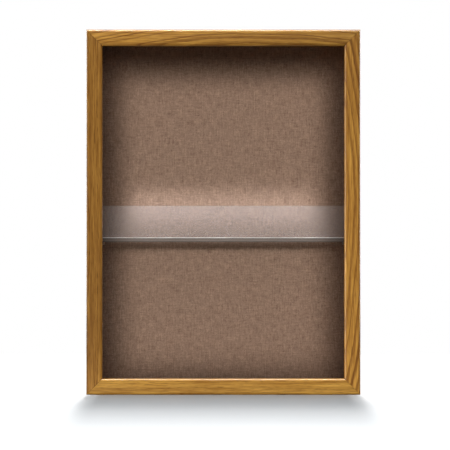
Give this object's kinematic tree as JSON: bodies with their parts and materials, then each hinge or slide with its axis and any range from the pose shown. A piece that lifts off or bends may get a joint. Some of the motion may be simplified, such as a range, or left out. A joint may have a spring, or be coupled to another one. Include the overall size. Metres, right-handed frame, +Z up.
{
  "type": "shadow box",
  "caption": "Tall oak shadow box with a swing-open window door, a linen-covered back panel and one acrylic shelf; it stands on its base or hangs on a wall.",
  "frame": {"origin": "middle of the footprint, on the surface that the case stands on", "axes": "+Z up, -Y out of the front through the window, +X to the viewer's right"},
  "size_m": [0.4572, 0.124, 0.6096],
  "materials": {
    "oak_frame": "honey oak, clear satin lacquer, straight grain along each member",
    "oak_case": "honey oak, clear satin lacquer",
    "oak_rail": "unfinished oak",
    "window_acrylic": "clear polished acrylic sheet",
    "shelf_acrylic": "clear acrylic with a faint white haze and polished edges",
    "linen": "plain-weave brown linen with slubs",
    "hardboard": "smooth brown hardboard",
    "display_board": "soft fibreboard",
    "brass": "satin brass",
    "screw_steel": "zinc-plated steel",
    "hanger_steel": "zinc-plated pressed steel",
    "magnet": "nickel-plated magnet",
    "felt": "brown felt"
  },
  "bodies": {
    "case": {"back_board": "hardboard", "back_screw_bottom_left": "screw_steel", "back_screw_bottom_right": "screw_steel", "back_screw_top_left": "screw_steel", "back_screw_top_right": "screw_steel", "bumper_lower": "felt", "bumper_upper": "felt", "case_bottom": "oak_case", "case_side_left": "oak_case", "case_side_right": "oak_case", "case_top": "oak_case", "display_board": "display_board", "fabric_cover": "linen", "hanger_plate_left": "hanger_steel", "hanger_plate_right": "hanger_steel", "hanger_screw_left_bottom": "screw_steel", "hanger_screw_left_top": "screw_steel", "hanger_screw_right_bottom": "screw_steel", "hanger_screw_right_top": "screw_steel", "hanging_rail": "oak_rail", "hinge_lower_case_leaf": "brass", "hinge_lower_case_screw_bottom": "brass", "hinge_lower_case_screw_top": "brass", "hinge_lower_pin": "brass", "hinge_upper_case_leaf": "brass", "hinge_upper_case_screw_bottom": "brass", "hinge_upper_case_screw_top": "brass", "hinge_upper_pin": "brass", "lower_rail": "oak_rail", "magnet_lower": "magnet", "magnet_upper": "magnet", "shelf_pin_left_back": "screw_steel", "shelf_pin_left_front": "screw_steel", "shelf_pin_right_back": "screw_steel", "shelf_pin_right_front": "screw_steel"},
    "door": {"corner_nail_bottom_left": "screw_steel", "corner_nail_bottom_right": "screw_steel", "corner_nail_top_left": "screw_steel", "corner_nail_top_right": "screw_steel", "door_rail_bottom": "oak_frame", "door_rail_top": "oak_frame", "door_stile_left": "oak_frame", "door_stile_right": "oak_frame", "glazing_stop_bottom": "oak_frame", "glazing_stop_left": "oak_frame", "glazing_stop_right": "oak_frame", "glazing_stop_top": "oak_frame", "hinge_lower_door_leaf": "brass", "hinge_lower_door_screw_bottom": "brass", "hinge_lower_door_screw_top": "brass", "hinge_upper_door_leaf": "brass", "hinge_upper_door_screw_bottom": "brass", "hinge_upper_door_screw_top": "brass", "strike_plate_lower": "screw_steel", "strike_plate_upper": "screw_steel", "strike_screw_lower": "screw_steel", "strike_screw_upper": "screw_steel", "window_panel": "window_acrylic"},
    "shelf": {"shelf": "shelf_acrylic"}
  },
  "joints": [
    {"name": "door_hinge", "type": "hinge", "parent": "case", "child": "door", "pos_m": [-0.2234, -0.0371, 0.3048], "axis": [0, 0, -1], "range_deg": [0, 135]},
    {"name": "shelf_lift", "type": "slide", "parent": "case", "child": "shelf", "axis": [0, 0, 1], "range_m": [0, 0.02]}
  ]
}
